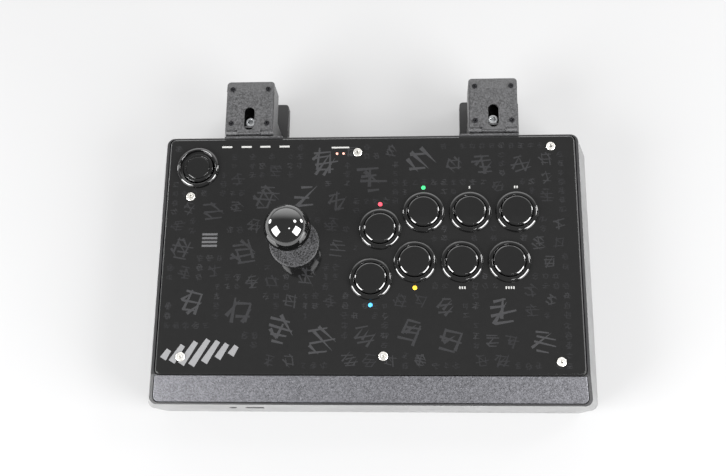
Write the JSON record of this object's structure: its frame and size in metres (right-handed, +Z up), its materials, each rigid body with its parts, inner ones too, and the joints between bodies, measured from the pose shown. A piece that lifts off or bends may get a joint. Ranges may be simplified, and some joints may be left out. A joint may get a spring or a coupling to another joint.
{
  "type": "arcade joystick panel",
  "caption": "Arcade control panel: ball-top joystick and push buttons on a gloss black panel in a flared case, with two screw clamps for a table edge.",
  "frame": {"origin": "on the table, at the centre of the whole object's footprint box", "axes": "+X to the player's right, +Y away from the player, +Z up"},
  "size_m": [0.349, 0.2628, 0.1184],
  "materials": {
    "shell": "satin moulded ABS, dark grey",
    "strip": "textured dark metallic sheet",
    "steel": "black painted sheet steel",
    "cover": "gloss printed acrylic",
    "bright_screw": "nickel plated",
    "dark_screw": "black oxide",
    "rubber": "matte",
    "button_gloss": "gloss black moulded nylon",
    "inner_plastic": "moulded black plastic",
    "stick_steel": "turned steel",
    "ball": "gloss black",
    "board": "green circuit board",
    "lamp": "clear light pipe",
    "clamp_grey": "grey powder coat on a casting",
    "jaw_black": "black moulded nylon",
    "silver": "zinc plated"
  },
  "bodies": {
    "case": {"bottom_tray": "shell", "top_shell": "shell", "wrist_strip": "strip", "steel_panel": "steel", "panel_cover": "cover", "panel_screws": "bright_screw", "tray_screws": "dark_screw", "rubber_feet": "rubber", "button_housings": "button_gloss", "button_switches": "inner_plastic", "option_button_ring": "button_gloss", "stick_mount_plate": "steel", "stick_screws": "dark_screw", "stick_housing": "inner_plastic", "stick_board": "board", "restrictor_gate": "inner_plastic", "stick_switches": "inner_plastic", "main_board": "board", "status_lamps": "lamp", "cable_inlet": "rubber", "headset_jack": "inner_plastic", "usb_port": "silver", "clamp_bracket_screws": "dark_screw", "left_clamp_bracket": "clamp_grey", "left_hinge_pin": "silver", "right_clamp_bracket": "clamp_grey", "right_hinge_pin": "silver"},
    "stick_ring": {"pivot_ring": "inner_plastic"},
    "stick": {"stick_shaft": "stick_steel", "ball_top": "ball", "stick_actuator": "inner_plastic", "stick_clip": "silver", "stick_spring": "silver"},
    "lower_washer": {"dust_washer_lower": "inner_plastic"},
    "washer": {"dust_washer": "inner_plastic"},
    "button_1": {"button_1_plunger": "button_gloss"},
    "button_2": {"button_2_plunger": "button_gloss"},
    "button_3": {"button_3_plunger": "button_gloss"},
    "button_4": {"button_4_plunger": "button_gloss"},
    "button_5": {"button_5_plunger": "button_gloss"},
    "button_6": {"button_6_plunger": "button_gloss"},
    "button_7": {"button_7_plunger": "button_gloss"},
    "button_8": {"button_8_plunger": "button_gloss"},
    "option_button": {"option_plunger": "button_gloss"},
    "rear_key_1": {"rear_button_1": "jaw_black"},
    "rear_key_2": {"rear_button_2": "jaw_black"},
    "rear_key_3": {"rear_button_3": "jaw_black"},
    "rear_key_4": {"rear_button_4": "jaw_black"},
    "left_clamp": {"left_clamp_body": "clamp_grey", "left_clamp_cover": "clamp_grey", "left_cover_screws": "dark_screw"},
    "left_screw": {"left_clamp_screw": "silver"},
    "left_jaw": {"left_lower_jaw": "jaw_black"},
    "right_clamp": {"right_clamp_body": "clamp_grey", "right_clamp_cover": "clamp_grey", "right_cover_screws": "dark_screw"},
    "right_screw": {"right_clamp_screw": "silver"},
    "right_jaw": {"right_lower_jaw": "jaw_black"}
  },
  "joints": [
    {"name": "stick_tilt_front_back", "type": "hinge", "parent": "case", "child": "stick_ring", "pos_m": [-0.0583, -0.00745, 0.046], "axis": [1, 0, 0], "range_deg": [-9, 9], "stiffness_Nm_per_rad": 0.5},
    {"name": "stick_tilt_side", "type": "hinge", "parent": "stick_ring", "child": "stick", "pos_m": [-0.0583, -0.00745, 0.046], "axis": [0, 1, 0], "range_deg": [-9, 9], "stiffness_Nm_per_rad": 0.5},
    {"name": "washer_slide_front_back", "type": "slide", "parent": "case", "child": "lower_washer", "axis": [0, 1, 0], "range_m": [-0.0024, 0.0024]},
    {"name": "washer_slide_side", "type": "slide", "parent": "lower_washer", "child": "washer", "axis": [1, 0, 0], "range_m": [-0.0024, 0.0024]},
    {"name": "button_1_press", "type": "slide", "parent": "case", "child": "button_1", "axis": [0, 0, -1], "range_m": [0, 0.0035], "stiffness_N_per_m": 150, "springref_m": -0.004},
    {"name": "button_2_press", "type": "slide", "parent": "case", "child": "button_2", "axis": [0, 0, -1], "range_m": [0, 0.0035], "stiffness_N_per_m": 150, "springref_m": -0.004},
    {"name": "button_3_press", "type": "slide", "parent": "case", "child": "button_3", "axis": [0, 0, -1], "range_m": [0, 0.0035], "stiffness_N_per_m": 150, "springref_m": -0.004},
    {"name": "button_4_press", "type": "slide", "parent": "case", "child": "button_4", "axis": [0, 0, -1], "range_m": [0, 0.0035], "stiffness_N_per_m": 150, "springref_m": -0.004},
    {"name": "button_5_press", "type": "slide", "parent": "case", "child": "button_5", "axis": [0, 0, -1], "range_m": [0, 0.0035], "stiffness_N_per_m": 150, "springref_m": -0.004},
    {"name": "button_6_press", "type": "slide", "parent": "case", "child": "button_6", "axis": [0, 0, -1], "range_m": [0, 0.0035], "stiffness_N_per_m": 150, "springref_m": -0.004},
    {"name": "button_7_press", "type": "slide", "parent": "case", "child": "button_7", "axis": [0, 0, -1], "range_m": [0, 0.0035], "stiffness_N_per_m": 150, "springref_m": -0.004},
    {"name": "button_8_press", "type": "slide", "parent": "case", "child": "button_8", "axis": [0, 0, -1], "range_m": [0, 0.0035], "stiffness_N_per_m": 150, "springref_m": -0.004},
    {"name": "option_press", "type": "slide", "parent": "case", "child": "option_button", "axis": [0, 0, -1], "range_m": [0, 0.0025], "stiffness_N_per_m": 150, "springref_m": -0.004},
    {"name": "rear_button_1_press", "type": "slide", "parent": "case", "child": "rear_key_1", "axis": [0, -1, 0], "range_m": [0, 0.0006], "stiffness_N_per_m": 300, "springref_m": -0.002},
    {"name": "rear_button_2_press", "type": "slide", "parent": "case", "child": "rear_key_2", "axis": [0, -1, 0], "range_m": [0, 0.0006], "stiffness_N_per_m": 300, "springref_m": -0.002},
    {"name": "rear_button_3_press", "type": "slide", "parent": "case", "child": "rear_key_3", "axis": [0, -1, 0], "range_m": [0, 0.0006], "stiffness_N_per_m": 300, "springref_m": -0.002},
    {"name": "rear_button_4_press", "type": "slide", "parent": "case", "child": "rear_key_4", "axis": [0, -1, 0], "range_m": [0, 0.0006], "stiffness_N_per_m": 300, "springref_m": -0.002},
    {"name": "left_clamp_tilt", "type": "hinge", "parent": "case", "child": "left_clamp", "pos_m": [-0.0984, 0.08735, 0.0558], "axis": [1, 0, 0], "range_deg": [0, 45]},
    {"name": "left_screw_turn", "type": "hinge", "parent": "left_clamp", "child": "left_screw", "pos_m": [-0.0984, 0.09685, 0.04], "axis": [0, 0, -1], "range_deg": [0, 2160]},
    {"name": "left_jaw_slide", "type": "slide", "parent": "left_clamp", "child": "left_jaw", "axis": [0, 0, 1], "range_m": [0, 0.018]},
    {"name": "right_clamp_tilt", "type": "hinge", "parent": "case", "child": "right_clamp", "pos_m": [0.0984, 0.08735, 0.0558], "axis": [1, 0, 0], "range_deg": [0, 45]},
    {"name": "right_screw_turn", "type": "hinge", "parent": "right_clamp", "child": "right_screw", "pos_m": [0.0984, 0.09685, 0.04], "axis": [0, 0, -1], "range_deg": [0, 2160]},
    {"name": "right_jaw_slide", "type": "slide", "parent": "right_clamp", "child": "right_jaw", "axis": [0, 0, 1], "range_m": [0, 0.018]}
  ],
  "couplings": [
    {"joint": "washer_slide_front_back", "follows": "stick_tilt_front_back", "m_per_rad": -0.0148},
    {"joint": "washer_slide_side", "follows": "stick_tilt_side", "m_per_rad": 0.0148},
    {"joint": "left_screw_turn", "follows": "left_jaw_slide", "rad_per_m": 2094.4},
    {"joint": "right_screw_turn", "follows": "right_jaw_slide", "rad_per_m": 2094.4}
  ]
}
